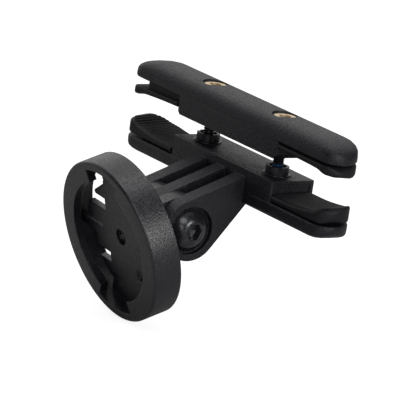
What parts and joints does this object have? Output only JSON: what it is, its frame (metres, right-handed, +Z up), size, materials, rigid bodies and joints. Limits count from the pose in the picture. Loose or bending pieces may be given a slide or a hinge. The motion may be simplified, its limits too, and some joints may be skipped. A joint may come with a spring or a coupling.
{
  "type": "saddle rail light mount",
  "caption": "Clamp with ribbed pads for bicycle saddle rails, with a tilting quarter-turn socket for a tail light.",
  "frame": {"origin": "midway between the axes of the two saddle rails, in the plane of both", "axes": "+X across the bike along the clamp bars, +Y forwards along the rails, +Z up; the light looks to -Y"},
  "size_m": [0.0734, 0.0407, 0.0457],
  "materials": {
    "moulded_plastic": "fine-grained matte black glass-filled plastic",
    "socket_plastic": "satin black glass-filled plastic",
    "collar_plastic": "satin black plastic",
    "rail_rubber": "black ribbed rubber",
    "insert_brass": "turned brass",
    "black_steel": "polished black oxide on steel",
    "washer_steel": "dark oxide on steel"
  },
  "bodies": {
    "lower_body": {"lower_clamp": "moulded_plastic", "lower_left_pad": "rail_rubber", "lower_right_pad": "rail_rubber", "left_collar": "collar_plastic", "right_collar": "collar_plastic", "left_washer": "washer_steel", "right_washer": "washer_steel", "pivot_washer": "washer_steel", "pivot_nut": "washer_steel"},
    "upper_body": {"upper_clamp": "moulded_plastic", "upper_left_pad": "rail_rubber", "upper_right_pad": "rail_rubber", "left_insert": "insert_brass", "right_insert": "insert_brass"},
    "left_bolt": {"left_clamp_bolt": "black_steel"},
    "right_bolt": {"right_clamp_bolt": "black_steel"},
    "socket_body": {"light_socket": "socket_plastic"},
    "pivot_body": {"pivot_bolt": "black_steel"}
  },
  "joints": [
    {"name": "clamp_slide", "type": "slide", "parent": "lower_body", "child": "upper_body", "axis": [0, 0, 1], "range_m": [-0.0025, 0.0014]},
    {"name": "left_bolt_turn", "type": "hinge", "parent": "lower_body", "child": "left_bolt", "pos_m": [-0.0127, 0, 0], "axis": [0, 0, 1], "range_deg": [-1200, 2100]},
    {"name": "right_bolt_turn", "type": "hinge", "parent": "lower_body", "child": "right_bolt", "pos_m": [0.0127, 0, 0], "axis": [0, 0, 1], "range_deg": [-1200, 2100]},
    {"name": "socket_tilt", "type": "hinge", "parent": "lower_body", "child": "socket_body", "pos_m": [0, -0.0159, -0.0134], "axis": [1, 0, 0], "range_deg": [-60, 65]},
    {"name": "pivot_bolt_turn", "type": "hinge", "parent": "lower_body", "child": "pivot_body", "pos_m": [0, -0.0159, -0.0134], "axis": [1, 0, 0], "range_deg": [-360, 360]}
  ],
  "couplings": [
    {"joint": "left_bolt_turn", "follows": "clamp_slide", "rad_per_m": -13963},
    {"joint": "right_bolt_turn", "follows": "clamp_slide", "rad_per_m": -13963}
  ]
}
